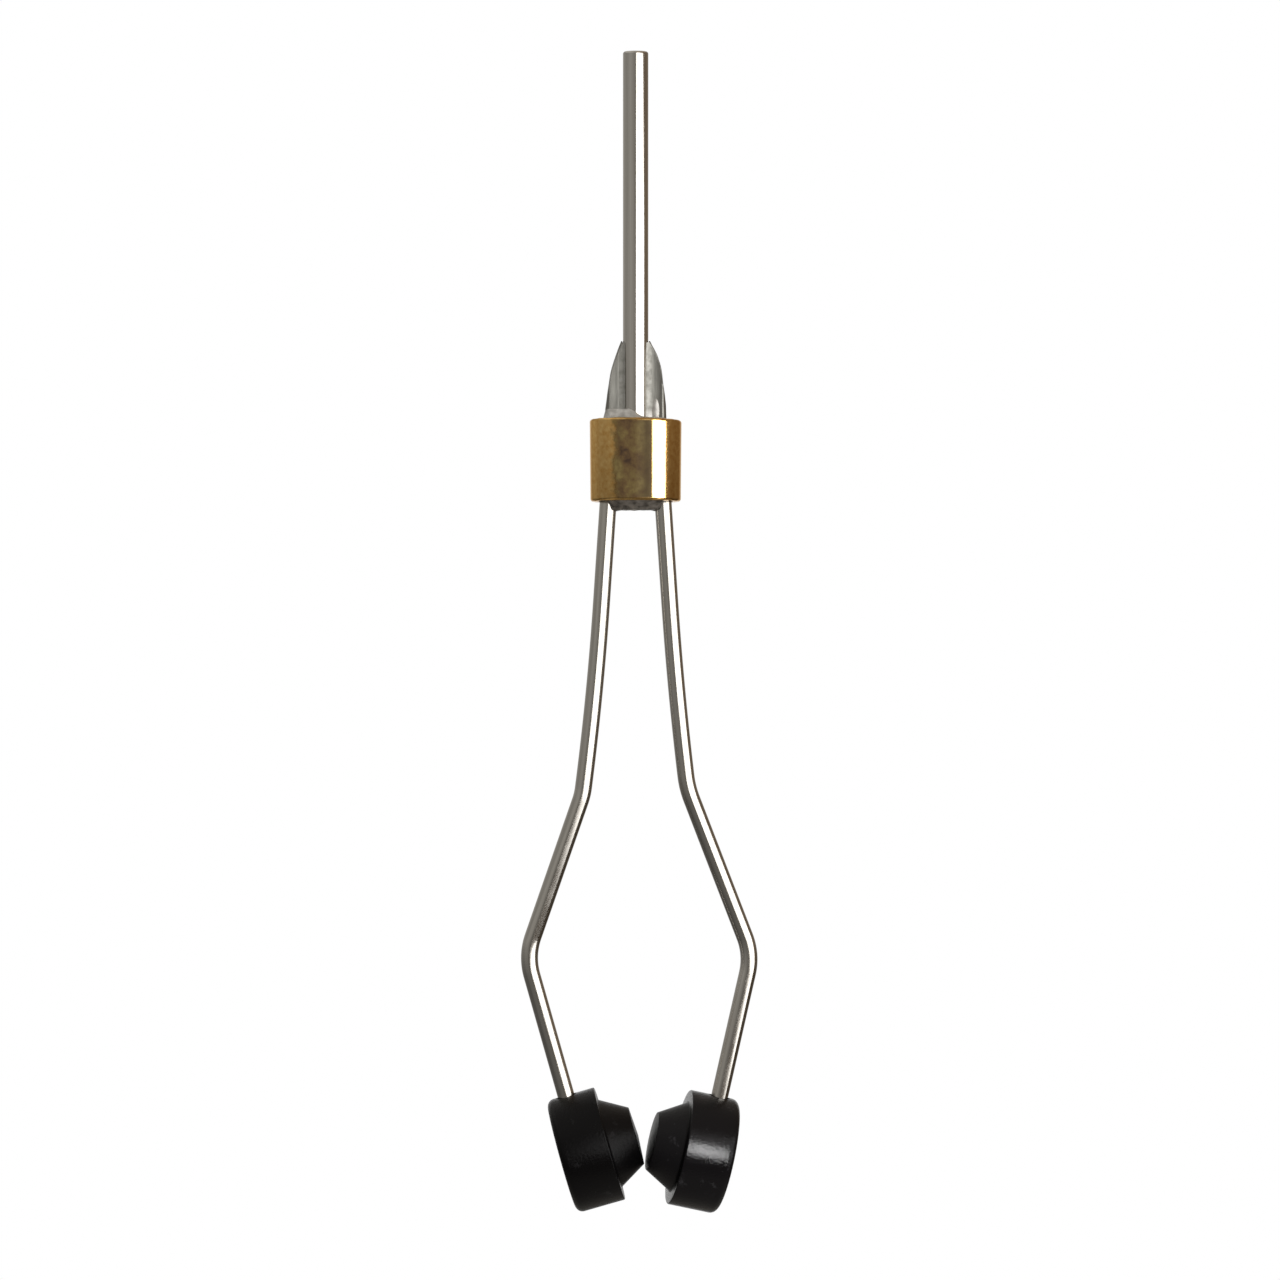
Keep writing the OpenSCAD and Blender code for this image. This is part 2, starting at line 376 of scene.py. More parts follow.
# Stainless tube, drawn and lightly polished: fine lines run along it, and its gloss is
# broken only by faint handling marks. The real lines are too fine to show, so these are
# as coarse as they need to be.
def drawn_stainless_tube():
    line_w, slender, mark_w = 0.12 * MM, 0.012, 2.5 * MM
    material, tree, output = new_material("drawn_stainless_tube")
    place = add(tree, "ShaderNodeTexCoord")
    along = add(tree, "ShaderNodeMapping",
                {"Vector": place.outputs["Object"], "Scale": (1, 1, slender)})
    lines = add(tree, "ShaderNodeTexNoise",
                {"Vector": along.outputs["Vector"], "Scale": 1 / line_w, "Detail": 3.0})
    marks = add(tree, "ShaderNodeTexNoise",
                {"Vector": place.outputs["Object"], "Scale": 1 / mark_w, "Detail": 4.0})
    gloss = add(tree, "ShaderNodeMapRange",
                {"Value": marks.outputs["Fac"], "From Min": 0.3, "From Max": 0.75,
                 "To Min": 0.1, "To Max": 0.17})
    tint = add(tree, "ShaderNodeMapRange",
               {"Value": lines.outputs["Fac"], "From Min": 0.25, "From Max": 0.75})
    colour = add(tree, "ShaderNodeMix",
                 {"Factor": tint.outputs["Result"], COLOUR_A: srgb("#C2BEB6"),
                  COLOUR_B: srgb("#D3CFC8")}, data_type="RGBA")
    relief = add(tree, "ShaderNodeBump", {"Height": lines.outputs["Fac"], "Strength": 0.02,
                                          "Distance": 0.002 * MM})
    steel = add(tree, "ShaderNodeBsdfPrincipled",
                {"Base Color": colour.outputs[COLOUR_MIX], "Metallic": 1.0,
                 "Roughness": gloss.outputs["Result"], "Normal": relief.outputs["Normal"]})
    tree.links.new(steel.outputs["BSDF"], output.inputs["Surface"])
    return material


# Hard-drawn stainless spring wire: lines from the die run along its length, whichever
# way it is bent, drawn as coarse as they need to show. Its tips were draw-filed by hand,
# which left soft matt streaks along them. Its pattern lies on the wire as it was before
# it was bent, in millimetres.
def spring_wire_steel():
    line_w, slender, mark_w = 0.11, 0.015, 2.2
    streak_w, streak_slender, streak_turn = 0.4, 0.14, math.radians(4)
    filed_roughness, line_share = 0.4, 0.015
    material, tree, output = new_material("hard_drawn_spring_wire")
    stock = add(tree, "ShaderNodeAttribute", attribute_name="stock")
    ground = add(tree, "ShaderNodeAttribute", attribute_name="ground")
    along = add(tree, "ShaderNodeMapping",
                {"Vector": stock.outputs["Vector"], "Scale": (1, 1, slender)})
    lines = add(tree, "ShaderNodeTexNoise",
                {"Vector": along.outputs["Vector"], "Scale": 1 / line_w, "Detail": 3.0})
    marks = add(tree, "ShaderNodeTexNoise",
                {"Vector": stock.outputs["Vector"], "Scale": 1 / mark_w, "Detail": 4.0})
    strokes = add(tree, "ShaderNodeMapping",
                  {"Vector": stock.outputs["Vector"], "Rotation": (0, streak_turn, 0),
                   "Scale": (1, 1, streak_slender)})
    streaks = add(tree, "ShaderNodeTexNoise",
                  {"Vector": strokes.outputs["Vector"], "Scale": 1 / streak_w,
                   "Detail": 4.0, "Roughness": 0.55})
    drawn_gloss = add(tree, "ShaderNodeMapRange",
                      {"Value": marks.outputs["Fac"], "From Min": 0.3, "From Max": 0.75,
                       "To Min": 0.1, "To Max": 0.18})
    gloss = add(tree, "ShaderNodeMix",
                {"Factor": ground.outputs["Fac"], VALUE_A: drawn_gloss.outputs["Result"],
                 VALUE_B: filed_roughness}, data_type="FLOAT")
    tint = add(tree, "ShaderNodeMapRange",
               {"Value": lines.outputs["Fac"], "From Min": 0.25, "From Max": 0.75})
    drawn = add(tree, "ShaderNodeMix",
                {"Factor": tint.outputs["Result"], COLOUR_A: srgb("#BDB9B1"),
                 COLOUR_B: srgb("#CFCBC4")}, data_type="RGBA")
    shade = add(tree, "ShaderNodeMapRange",
                {"Value": streaks.outputs["Fac"], "From Min": 0.3, "From Max": 0.72})
    filed = add(tree, "ShaderNodeMix",
                {"Factor": shade.outputs["Result"], COLOUR_A: srgb("#7E7D78"),
                 COLOUR_B: srgb("#A3A29B")}, data_type="RGBA")
    colour = add(tree, "ShaderNodeMix",
                 {"Factor": ground.outputs["Fac"], COLOUR_A: drawn.outputs[COLOUR_MIX],
                  COLOUR_B: filed.outputs[COLOUR_MIX]}, data_type="RGBA")
    fine_lines = add(tree, "ShaderNodeMath", [lines.outputs["Fac"], line_share],
                     operation="MULTIPLY")
    height = add(tree, "ShaderNodeMix",
                 {"Factor": ground.outputs["Fac"], VALUE_A: fine_lines.outputs["Value"],
                  VALUE_B: streaks.outputs["Fac"]}, data_type="FLOAT")
    relief = add(tree, "ShaderNodeBump", {"Height": height.outputs["Result"],
                                          "Strength": 0.2, "Distance": 0.014 * MM})
    steel = add(tree, "ShaderNodeBsdfPrincipled",
                {"Base Color": colour.outputs[COLOUR_MIX], "Metallic": 1.0,
                 "Roughness": gloss.outputs["Result"], "Normal": relief.outputs["Normal"]})
    tree.links.new(steel.outputs["BSDF"], output.inputs["Surface"])
    return material


# Brass tube, turned to length, polished and lacquered, and mottled by handling. A dark
# reflection is painted into its colour as a brown-black stain in the middle of the front and
# of the back, darkest towards the right. Lines from the polishing run round it, as coarse as
# they need to show.
def brass_with_painted_shade():
    blotch_w, mottle_w = 1.7 * MM, 0.45 * MM
    line_w, slender = 0.09 * MM, 0.03
    clean_roughness, painted_shade_roughness = 0.13, 0.32
    material, tree, output = new_material("polished_brass_with_painted_shade")
    place = add(tree, "ShaderNodeTexCoord")
    axes = add(tree, "ShaderNodeSeparateXYZ", {"Vector": place.outputs["Object"]})
    blotch = add(tree, "ShaderNodeTexNoise",
                 {"Vector": place.outputs["Object"], "Scale": 1 / blotch_w,
                  "Detail": 6.0, "Roughness": 0.62})
    fine = add(tree, "ShaderNodeTexNoise",
               {"Vector": place.outputs["Object"], "Scale": 1 / mottle_w, "Detail": 4.0})
    # The painted shade ends raggedly at the left, and at a clean line at the right
    ragged = add(tree, "ShaderNodeMath",
                 [blotch.outputs["Fac"], painted_shade_ragged * MM, axes.outputs["X"]],
                 operation="MULTIPLY_ADD")
    left_part = add(tree, "ShaderNodeMapRange",
                    {"Value": ragged.outputs["Value"],
                     "From Min": (painted_shade_left - painted_shade_soft) * MM,
                     "From Max": (painted_shade_left + painted_shade_soft) * MM},
                    interpolation_type="SMOOTHSTEP")
    right_part = add(tree, "ShaderNodeMapRange",
                     {"Value": axes.outputs["X"],
                      "From Min": (painted_shade_right + painted_shade_crisp) * MM,
                      "From Max": (painted_shade_right - painted_shade_crisp) * MM},
                     interpolation_type="SMOOTHSTEP")
    # The painted shade fades out towards the two rims
    upper_rim = add(tree, "ShaderNodeMapRange",
                    {"Value": axes.outputs["Z"], "From Min": (rim_z - shade_fade_from) * MM,
                     "From Max": (rim_z - shade_fade_most) * MM, "To Min": 1.0, "To Max": 0.2})
    lower_rim = add(tree, "ShaderNodeMapRange",
                    {"Value": axes.outputs["Z"],
                     "From Min": (collar_bottom + shade_fade_most) * MM,
                     "From Max": (collar_bottom + shade_fade_from) * MM, "To Min": 0.5})
    sides = add(tree, "ShaderNodeMath",
                [left_part.outputs["Result"], right_part.outputs["Result"]],
                operation="MULTIPLY")
    rims = add(tree, "ShaderNodeMath",
               [upper_rim.outputs["Result"], lower_rim.outputs["Result"]],
               operation="MULTIPLY")
    # The mask of the painted shade: where a dark reflection is painted into the brass's colour
    painted_shade = add(tree, "ShaderNodeMath", [sides.outputs["Value"], rims.outputs["Value"]],
                operation="MULTIPLY")
    patches = add(tree, "ShaderNodeValToRGB", {"Fac": blotch.outputs["Fac"]},
                  [(0.34, srgb("#4A3A30")), (0.45, srgb("#6A543A")),
                   (0.56, srgb("#7C6A44")), (0.66, srgb("#958354"))])
    # The painted shade is darker towards the right
    darker_right = add(tree, "ShaderNodeMapRange",
                  {"Value": axes.outputs["X"], "From Min": painted_shade_left * MM,
                   "From Max": painted_shade_full * MM, "To Max": 0.9})
    painted_shade_colour = add(tree, "ShaderNodeMix",
                {"Factor": darker_right.outputs["Result"], COLOUR_A: patches.outputs["Color"],
                 COLOUR_B: srgb("#2E2417")}, data_type="RGBA")
    mottle = add(tree, "ShaderNodeMapRange",
                 {"Value": fine.outputs["Fac"], "From Min": 0.3, "From Max": 0.7})
    clean = add(tree, "ShaderNodeMix",
                {"Factor": mottle.outputs["Result"], COLOUR_A: srgb("#D9A455"),
                 COLOUR_B: srgb("#F2C980")}, data_type="RGBA")
    # The painted shade's dark colour takes the place of the clean brass where its mask is full
    colour = add(tree, "ShaderNodeMix",
                 {"Factor": painted_shade.outputs["Value"], COLOUR_A: clean.outputs[COLOUR_MIX],
                  COLOUR_B: painted_shade_colour.outputs[COLOUR_MIX]}, data_type="RGBA")
    gloss = add(tree, "ShaderNodeMix",
                {"Factor": painted_shade.outputs["Value"], VALUE_A: clean_roughness,
                 VALUE_B: painted_shade_roughness}, data_type="FLOAT")
    metal = add(tree, "ShaderNodeMapRange",
                {"Value": painted_shade.outputs["Value"], "From Min": 0.75,
                 "To Min": 1.0, "To Max": 0.25})
    lacquer = add(tree, "ShaderNodeMapRange",
                  {"Value": painted_shade.outputs["Value"], "To Min": 0.4, "To Max": 0.05})
    turning = add(tree, "ShaderNodeMapping",
                  {"Vector": place.outputs["Object"], "Scale": (slender, slender, 1)})
    lines = add(tree, "ShaderNodeTexNoise",
                {"Vector": turning.outputs["Vector"], "Scale": 1 / line_w, "Detail": 2.0})
    relief = add(tree, "ShaderNodeBump", {"Height": lines.outputs["Fac"], "Strength": 0.1,
                                          "Distance": 0.004 * MM})
    brass = add(tree, "ShaderNodeBsdfPrincipled",
                {"Base Color": colour.outputs[COLOUR_MIX],
                 "Metallic": metal.outputs["Result"],
                 "Roughness": gloss.outputs["Result"], "Normal": relief.outputs["Normal"],
                 "Coat Weight": lacquer.outputs["Result"], "Coat Roughness": 0.1,
                 "Coat IOR": 1.5, "Specular IOR Level": 0.2,
                 "Specular Tint": srgb("#F4DCAE")})
    tree.links.new(brass.outputs["BSDF"], output.inputs["Surface"])
    return material


# Silver braze as it set: pale and dull under a thin chalky skin of flux. It was filed
# bright with the wires above, and its colour is darker on its underside below the collar.
def set_braze():
    grain_w = 0.7 * MM
    material, tree, output = new_material("silver_braze_as_set")
    place = add(tree, "ShaderNodeTexCoord")
    filed = add(tree, "ShaderNodeAttribute", attribute_name="filed")
    underside = add(tree, "ShaderNodeAttribute", attribute_name="underside")
    grain = add(tree, "ShaderNodeTexNoise",
                {"Vector": place.outputs["Object"], "Scale": 1 / grain_w,
                 "Detail": 6.0, "Roughness": 0.6})
    flux = add(tree, "ShaderNodeMapRange",
               {"Value": grain.outputs["Fac"], "From Min": 0.36, "From Max": 0.64})
    pale = add(tree, "ShaderNodeMix",
               {"Factor": flux.outputs["Result"], COLOUR_A: srgb("#DAD8D3"),
                COLOUR_B: srgb("#B3B1AC")}, data_type="RGBA")
    worked = add(tree, "ShaderNodeMix",
                 {"Factor": flux.outputs["Result"], COLOUR_A: srgb("#9C9B95"),
                  COLOUR_B: srgb("#84837D")}, data_type="RGBA")
    # The darker grey given to the braze's underside, below the collar
    darker_below = add(tree, "ShaderNodeMix",
                {"Factor": flux.outputs["Result"], COLOUR_A: srgb("#9A938B"),
                 COLOUR_B: srgb("#57524C")}, data_type="RGBA")
    upper = add(tree, "ShaderNodeMix",
                {"Factor": filed.outputs["Fac"], COLOUR_A: pale.outputs[COLOUR_MIX],
                 COLOUR_B: worked.outputs[COLOUR_MIX]}, data_type="RGBA")
    colour = add(tree, "ShaderNodeMix",
                 {"Factor": underside.outputs["Fac"], COLOUR_A: upper.outputs[COLOUR_MIX],
                  COLOUR_B: darker_below.outputs[COLOUR_MIX]}, data_type="RGBA")
    dull = add(tree, "ShaderNodeMapRange",
               {"Value": grain.outputs["Fac"], "From Min": 0.35, "From Max": 0.7,
                "To Min": 0.34, "To Max": 0.5})
    metal = add(tree, "ShaderNodeMapRange",
                {"Value": filed.outputs["Fac"], "To Min": 0.55})
    relief = add(tree, "ShaderNodeBump", {"Height": grain.outputs["Fac"], "Strength": 0.3,
                                          "Distance": 0.02 * MM})
    braze = add(tree, "ShaderNodeBsdfPrincipled",
                {"Base Color": colour.outputs[COLOUR_MIX],
                 "Metallic": metal.outputs["Result"],
                 "Roughness": dull.outputs["Result"], "Normal": relief.outputs["Normal"]})
    tree.links.new(braze.outputs["BSDF"], output.inputs["Surface"])
    return material


# Black acetal, turned: its rim is glossy enough to mirror the wire, under a fine uneven
# skin that breaks up its highlight. Its cone is matt, and both have a few pale scuffs.
def turned_acetal():
    skin_w, scuff_w = 0.26 * MM, 1.4 * MM
    matt_roughness = 0.25
    material, tree, output = new_material("turned_black_acetal")
    place = add(tree, "ShaderNodeTexCoord")
    matt = add(tree, "ShaderNodeAttribute", attribute_name="matt")
    skin = add(tree, "ShaderNodeTexNoise",
               {"Vector": place.outputs["Object"], "Scale": 1 / skin_w,
                "Detail": 5.0, "Roughness": 0.65})
    scuffs = add(tree, "ShaderNodeTexNoise",
                 {"Vector": place.outputs["Object"], "Scale": 1 / scuff_w,
                  "Detail": 8.0, "Roughness": 0.7})
    worn = add(tree, "ShaderNodeMapRange",
               {"Value": scuffs.outputs["Fac"], "From Min": 0.6, "From Max": 0.75})
    colour = add(tree, "ShaderNodeMix",
                 {"Factor": worn.outputs["Result"], COLOUR_A: srgb("#0A090A"),
                  COLOUR_B: srgb("#2A292B")}, data_type="RGBA")
    gloss = add(tree, "ShaderNodeMapRange",
                {"Value": scuffs.outputs["Fac"], "From Min": 0.35, "From Max": 0.7,
                 "To Min": 0.06, "To Max": 0.1})
    rough = add(tree, "ShaderNodeMath",
                [matt.outputs["Fac"], matt_roughness, gloss.outputs["Result"]],
                operation="MULTIPLY_ADD")
    relief = add(tree, "ShaderNodeBump", {"Height": skin.outputs["Fac"], "Strength": 0.6,
                                          "Distance": 0.05 * MM})
    acetal = add(tree, "ShaderNodeBsdfPrincipled",
                 {"Base Color": colour.outputs[COLOUR_MIX],
                  "Roughness": rough.outputs["Value"], "Specular IOR Level": 0.14,
                  "IOR": 1.48, "Normal": relief.outputs["Normal"]})
    tree.links.new(acetal.outputs["BSDF"], output.inputs["Surface"])
    return material


STEEL_TUBE = drawn_stainless_tube()
STEEL_WIRE = spring_wire_steel()
BRASS = brass_with_painted_shade()
BRAZE = set_braze()
ACETAL = turned_acetal()


# ------------------------------------------------------------------ thread tube


def make_thread_tube():
    """The tube, open right through, with its lips rounded for the thread."""
    low, high = TUBE_LOW.z, TUBE_HIGH.z
    lip, bore_lip = tube_lip_r, bore_lip_r
    outline = [(tube_r, low)]
    outline += arc((tube_r - lip, high - lip), lip, 0, 90, steps=10)
    outline += arc((bore_r + bore_lip, high - bore_lip), bore_lip, 90, 180, steps=6)
    outline += arc((bore_r + bore_lip, low + bore_lip), bore_lip, 180, 270, steps=6)
    bm = spun(outline, sides=128, closed=True)
    for vert in bm.verts:
        if vert.co.z > 0:
            vert.co.z -= tip_fall * (tube_r - vert.co.y) / (2 * tube_r)
    finished(bm, "thread_tube_drawn", "root", "stainless_tube", STEEL_TUBE, "thread_tube")


# ------------------------------------------------------------------ collar


def make_collar():
    """The collar, a short brass tube with softened rims that were finished by hand."""
    edge, chamfer = collar_edge_r, collar_bore_chamfer
    outline = [(collar_bore_r, collar_bottom)]
    outline += arc((collar_r - edge, collar_bottom + edge), edge, -90, 0, steps=8)
    outline += [(collar_r, (rim_z + collar_bottom) / 2)]
    outline += arc((collar_r - edge, rim_z - edge), edge, 0, 90, steps=8)
    outline += [(collar_bore_r + chamfer, rim_z), (collar_bore_r, rim_z - chamfer)]
    bm = spun(outline, sides=160, closed=True)
    for vert in bm.verts:
        height = (vert.co.z - collar_bottom) / (rim_z - collar_bottom)
        shrink = 1 - collar_taper * (1 - height) / collar_r
        waver = abs(sum(far * noise.noise(vert.co * close) for far, close in rim_wavers))
        if height > 0.5:
            vert.co.z -= rim_fall * vert.co.x / collar_r + waver
        else:
            vert.co.z += waver
        vert.co.x *= shrink
        vert.co.y *= shrink
    finished(bm, "brass_collar_turned", "root", "brass", BRASS, "brass_collar")


# ------------------------------------------------------------------ wires


def wire_route(side):
    """One wire from its ground tip to its end in the foot: lengths, each with its turn."""
    bends = LEG_BENDS[side]
    joint = JOINTS[f"{side}_foot_swivel"]
    flex = JOINTS[f"{side}_leg_flex"]["pos_m"]
    splay_top = collar_top + splay_start
    splay_drop = splay_r * math.sin(math.radians(splay_turn))
    neck = (splay_top - splay_drop - flex[2] / MM) / math.cos(math.radians(splay_turn))
    heading = splay_turn + bends["bow"][1] + bends["shoulder"][0]
    arm_heading = math.degrees(math.atan2(-joint["axis"][0], abs(joint["axis"][2])))
    elbow_turn = arm_heading - heading
    route = [
        (WIRE_TIP - splay_top, 0),
        (splay_r * math.radians(splay_turn), splay_turn),
        (neck, 0),
        bends["bow"],
        (bends["shoulder"][1] * math.radians(bends["shoulder"][0]), bends["shoulder"][0]),
        (bends["flare"], 0),
        (bends["elbow_r"] * math.radians(abs(elbow_turn)), elbow_turn),
    ]
    # The arm reaches from the elbow to its end in the foot's hole
    elbow = walk(route, sum(length for length, _ in route))
    foot = joint["pos_m"]
    reach = math.hypot(SIDE[side] * foot[0] / MM - elbow[0], foot[2] / MM - elbow[1])
    route.append((reach - foot_r + hole_depth - hole_end_gap, 0))
    return route


def walk(route, distance):
    """Place across, height and heading of the wire's centre line, so far from its tip."""
    x, z, heading = wire_x, WIRE_TIP, 0.0
    for length, turn in route:
        part = min(distance, length)
        turned = math.radians(turn) * part / length
        if turn:
            radius = length / math.radians(turn)
            x += radius * (math.cos(heading) - math.cos(heading + turned))
            z -= radius * (math.sin(heading + turned) - math.sin(heading))
        else:
            x += part * math.sin(heading)
            z -= part * math.cos(heading)
        heading += turned
        distance -= part
        if distance <= 0:
            break
    return x, z, heading


def ground_radius(height, side):
    """Radius of the bullet shape to which a wire's tip is ground, at a height."""
    splay_out = splay_r - math.sqrt(splay_r ** 2 - splay_start ** 2)
    base = wire_x + wire_r + splay_out + ground_clear
    inward = base - (tube_r + joint_gap + ground_edge_t)
    sweep = (ground_l ** 2 + inward ** 2) / (2 * inward)
    true = base - sweep + math.sqrt(sweep ** 2 - (height - collar_top) ** 2)
    up = (height - collar_top) / ground_l
    low, high = GROUND_BY_HAND[side]
    return true + low * swelling(up, *ground_low) + high * swelling(up, *ground_high)


def grind(x, y, centre, height, side):
    """Where a point of the wire's skin lies once the tip is ground: on the skin, or on
    the stretch of the bullet's circle that crosses the wire."""
    limit = ground_radius(height, side)
    if math.hypot(x, y) <= limit:
        return x, y
    share = (limit ** 2 + centre ** 2 - wire_r ** 2) / (2 * limit * centre)
    reach = math.acos(min(1.0, share))
    skin_share = (limit ** 2 - centre ** 2 - wire_r ** 2) / (2 * centre * wire_r)
    skin_reach = math.acos(max(-1.0, min(1.0, skin_share)))
    angle = math.atan2(y, x - centre) / skin_reach * reach
    return limit * math.cos(angle), limit * math.sin(angle)


def filed_flat(depth, x, side):
    """How far from the middle plane a point lies once the fronts and backs are filed."""
    hollow, line = WING_HOLLOW[side]
    flat = wing_flat - hollow * max(0.0, 1 - ((x - line) / hollow_reach) ** 2)
    return depth / (1 + abs(depth / flat) ** wing_crisp) ** (1 / wing_crisp)


def make_wire(side):
    """A straight length of wire, bent along its route and ground at its tip."""
    route = wire_route(side)
    length = sum(part for part, _ in route)
    rings = round(length / wire_step)
    bm = bmesh.new()
    stock = bm.verts.layers.float_vector.new("stock")
    ground = bm.verts.layers.float.new("ground")
    bmesh.ops.create_circle(bm, cap_ends=True, radius=wire_r, segments=wire_sides)
    face = bm.faces[:]
    for _ in range(rings):
        face, layer = pulled(bm, face)
        bmesh.ops.translate(bm, verts=layer, vec=(0, 0, length / rings))
    for vert in bm.verts:
        vert[stock] = vert.co
        centre, height, heading = walk(route, vert.co.z)
        x = centre + vert.co.x * math.cos(heading)
        z = height + vert.co.x * math.sin(heading)
        y = vert.co.y
        if z > collar_top:
            x, y = grind(x, y, centre, z, side)
        if z > rim_z - wing_below_rim:
            y = filed_flat(y, x, side)
        if z > collar_bottom:
            vert[ground] = 1.0
        vert.co = (SIDE[side] * x, y, z)
    bmesh.ops.recalc_face_normals(bm, faces=bm.faces)
    piece = finished(bm, f"{side}_spring_wire", None, "spring_wire", STEEL_WIRE,
                     f"{side}_wire_root", f"{side}_leg")
    # It bends from the collar's lower rim to as far below its hinge
    flex = Vector(JOINTS[f"{side}_leg_flex"]["pos_m"])
    turn = math.radians(splay_turn)
    down = Vector((SIDE[side] * math.sin(turn), 0, -math.cos(turn)))
    reach = (flex.z - collar_bottom * MM) / down.z
    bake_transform(piece, "root", f"{side}_leg", start=flex - down * reach, end=flex + down * reach)


# ------------------------------------------------------------------ braze


def centre_at(height):
    """How far out a wire's centre line stands at a height beside the tube."""
    drop = max(0.0, collar_top + splay_start - height)
    return wire_x + splay_r - math.sqrt(splay_r ** 2 - drop ** 2)


def gap_to_wires(x, y, spread):
    """How far a place lies outside the tube and the two wires beside it."""
    out = min(1.0, abs(x) / spread)
    half_depth = tube_r + (wire_r - tube_r) * out
    return math.hypot(max(0.0, abs(x) - spread), y) - half_depth


def uneven(x, y, wavers, level):
    """How far the braze wavers at a place, with so many wavers to a millimetre."""
    return pool_waver * noise.noise((x * wavers, y * wavers, level))


def pool_top(x, y):
    """Height of the braze above: it climbs tube and wires, highest at the left."""
    left = smooth(-x, -climb_start, climb_full)
    climb = pool_climb + (pool_climb_left - pool_climb) * left
    spread = centre_at(rim_z)
    gap = max(0.0, gap_to_wires(x, y, spread))
    outside = smooth(abs(x), spread, spread + wire_r)
    reach = pool_reach + (pool_reach_outside - pool_reach) * outside
    waver = uneven(x, y, wavers_above, waver_level)
    return rim_z - pool_recess + climb * math.exp(-gap / reach) + waver


def pool_bottom(x, y):
    """Height of the braze below: it sags between the legs and clings to each."""
    spread = wire_x + leg_out
    hang = 1 - smooth(gap_to_wires(x, y, spread), *sag_edge)
    hang *= 1 - smooth(abs(x), spread + sag_end[0], spread + sag_end[1])
    cling = max(0.0, math.hypot(abs(x) - spread, y) - wire_r)
    clinging = film * math.exp(-cling / film_reach)
    clinging *= 1 - smooth(abs(x), spread, spread + film_end)
    waver = uneven(x, y, wavers_below, -waver_level)
    return collar_bottom + pool_recess - sag * hang - clinging + waver


def groove_depth(x, side):
    """How far from the middle plane the braze in a groove stands: level with the wire's
    flat, and rising in a fillet to the tube's skin."""
    # A point this deep is past the flat, and so is filed down onto it
    past = 1
    tube_skin = math.sqrt(tube_r ** 2 - groove_inner ** 2)
    rise = max(0.0, 1 - max(0.0, x - groove_inner) / groove_fillet)
    depth = filed_flat(past, x, side) - groove_dip
    return depth + (tube_skin - filed_flat(past, groove_inner, side)) * rise ** 2


def groove_braze(bm, side):
    """The braze in the grooves between the tube and one wire, up to the wire's tip."""
    foot, top = collar_bottom, WIRE_TIP - groove_below_tip
    layer = bmesh.ops.create_circle(bm, cap_ends=True, radius=1,
                                    segments=groove_sides)["verts"]
    face = [layer[0].link_faces[0]]
    placed = {}
    for level in range(groove_levels + 1):
        height = foot + (top - foot) * level / groove_levels
        centre = centre_at(height)
        limit = ground_radius(max(height, collar_top), side) - groove_in_ground
        for vert in layer:
            across = (vert.co.x + 1) / 2
            close = min(1.0, abs(vert.co.y) * groove_close)
            x = groove_start + (centre - groove_in_wire - groove_start) * across
            y = math.copysign(groove_depth(x, side) * close, vert.co.y)
            over = math.hypot(x, y) / limit
            if over > 1:
                x, y = x / over, y / over
            placed[vert] = (SIDE[side] * x, y, height)
        if level < groove_levels:
            face, layer = pulled(bm, face)
    filed = bm.verts.layers.float["filed"]
    for vert, place in placed.items():
        vert.co = place
        vert[filed] = smooth(place[2], rim_z + pool_filed[0], rim_z + pool_filed[1])


def make_braze():
    """The braze: it fills the collar, climbs the wires and the tube above it, and sags
    between the legs below."""
    # It starts inside the tube's wall, which leaves the bore open
    start = (bore_r + tube_r) / 2
    reach = collar_bore_r + pool_in_wall
    rings = round((reach - start) / pool_step)
    radii = [start + (reach - start) * ring / rings for ring in range(rings + 1)]
    outline = [(radius, collar_bottom) for radius in radii]
    outline += [(radius, collar_top) for radius in reversed(radii)]
    bm = spun(outline, sides=144, closed=True)
    bm.verts.layers.float.new("filed")
    underside = bm.verts.layers.float.new("underside")
    for vert in bm.verts:
        x, y, z = vert.co
        vert.co.z = pool_top(x, y) if z > 0 else pool_bottom(x, y)
        # The underside, below the collar, is marked to take the darker grey
        vert[underside] = float(z < 0)
    for side in SIDE:
        groove_braze(bm, side)
    # The drop is a ball one millimetre across, stretched to its size
    drop = Matrix.Translation(drop_place) @ Matrix.Diagonal((*drop_size, 1))
    bmesh.ops.create_uvsphere(bm, u_segments=32, v_segments=24, radius=0.5, matrix=drop)
    bmesh.ops.recalc_face_normals(bm, faces=bm.faces)
    finished(bm, "silver_braze_flowed", "root", "silver_braze", BRAZE, "silver_braze")


# ------------------------------------------------------------------ feet


def foot_outline():
    """The foot's outline from the middle of its outer face to the point of its nose."""
    edge, ledge_edge, nose_edge = foot_edge_r, ledge_edge_r, nose_edge_r
    nose_at = ledge_at + cone_l
    cone_base = foot_r - ledge_w
    nose_r = cone_base - cone_l * math.tan(cone_slope)
    slope = math.degrees(cone_slope)
    outline = [(0, -wire_setback)]
    outline += arc((foot_r - edge, edge - wire_setback), edge, -90, 0, steps=10)
    outline += arc((foot_r - ledge_edge, ledge_at - ledge_edge), ledge_edge, 0, 90, steps=5)
    # A small hollow radius where the cone rises from the ledge
    root_out = cone_root_r * math.tan(math.radians((90 - slope) / 2))
    outline += arc((cone_base + root_out, ledge_at + cone_root_r), cone_root_r, 270,
                   180 + slope, steps=6)
    outline += arc((nose_r - nose_edge * nose_edge_in, nose_at - nose_edge), nose_edge,
                   slope, nose_edge_turn, steps=4)
    outline += [(0, nose_at + nose_rise)]
    return outline


